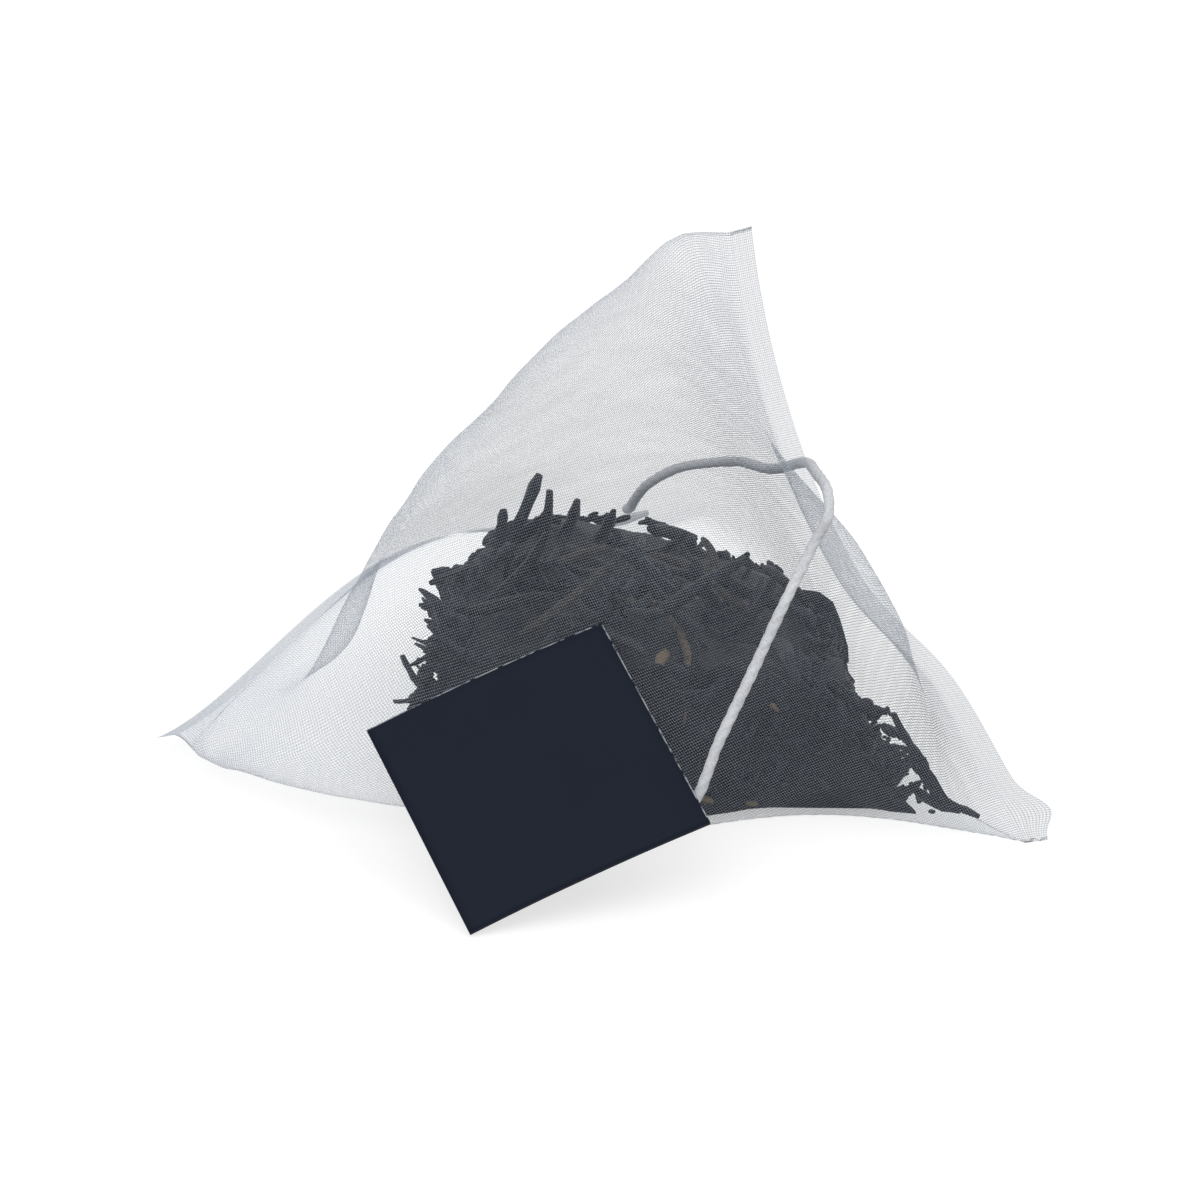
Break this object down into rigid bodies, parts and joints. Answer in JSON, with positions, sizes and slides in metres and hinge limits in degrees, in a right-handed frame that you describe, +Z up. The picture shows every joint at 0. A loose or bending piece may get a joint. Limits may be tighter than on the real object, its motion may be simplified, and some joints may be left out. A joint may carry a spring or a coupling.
{
  "type": "pyramid tea bag",
  "caption": "Sheer woven nylon pyramid tea bag of loose black tea, sealed flat along crossed edges, with a cotton string over its side to a square dark blue card tag.",
  "frame": {"origin": "on the table under the middle of the bag's box, the string and tag left out", "axes": "+Z up from the table the bag lies on; +X from the left tip to the right tip as the picture shows them; -Y towards the picture's camera"},
  "size_m": [0.069, 0.0748, 0.0496],
  "materials": {
    "nylon_mesh": "sheer plain weave of clear nylon thread, open between its threads",
    "nylon_melt": "smooth pad of melted nylon",
    "black_tea": "dry twisted tea leaf, dull, blue black",
    "tan_stem": "dry tan leaf stem",
    "cotton": "twisted white cotton thread",
    "blue_card": "uncoated card printed dark blue, pale at its cut edges"
  },
  "bodies": {
    "root": {"mesh_pouch": "nylon_mesh", "string": "cotton", "string_weld": "nylon_melt", "tag": "blue_card", "tea_heap": "black_tea", "tea_leaf_01": "black_tea", "tea_leaf_02": "black_tea", "tea_leaf_03": "black_tea", "tea_leaf_04": "black_tea", "tea_leaf_05": "black_tea", "tea_leaf_06": "black_tea", "tea_leaf_07": "black_tea", "tea_leaf_08": "black_tea", "tea_leaf_09": "black_tea", "tea_leaf_10": "black_tea", "tea_leaf_11": "black_tea", "tea_leaf_12": "black_tea", "tea_leaf_13": "black_tea", "tea_leaf_14": "black_tea", "tea_leaf_15": "black_tea", "tea_leaf_16": "black_tea", "tea_stem_01": "tan_stem", "tea_stem_02": "tan_stem", "tea_stem_03": "tan_stem", "tea_stem_04": "tan_stem", "tea_stem_05": "tan_stem"}
  },
  "joints": []
}
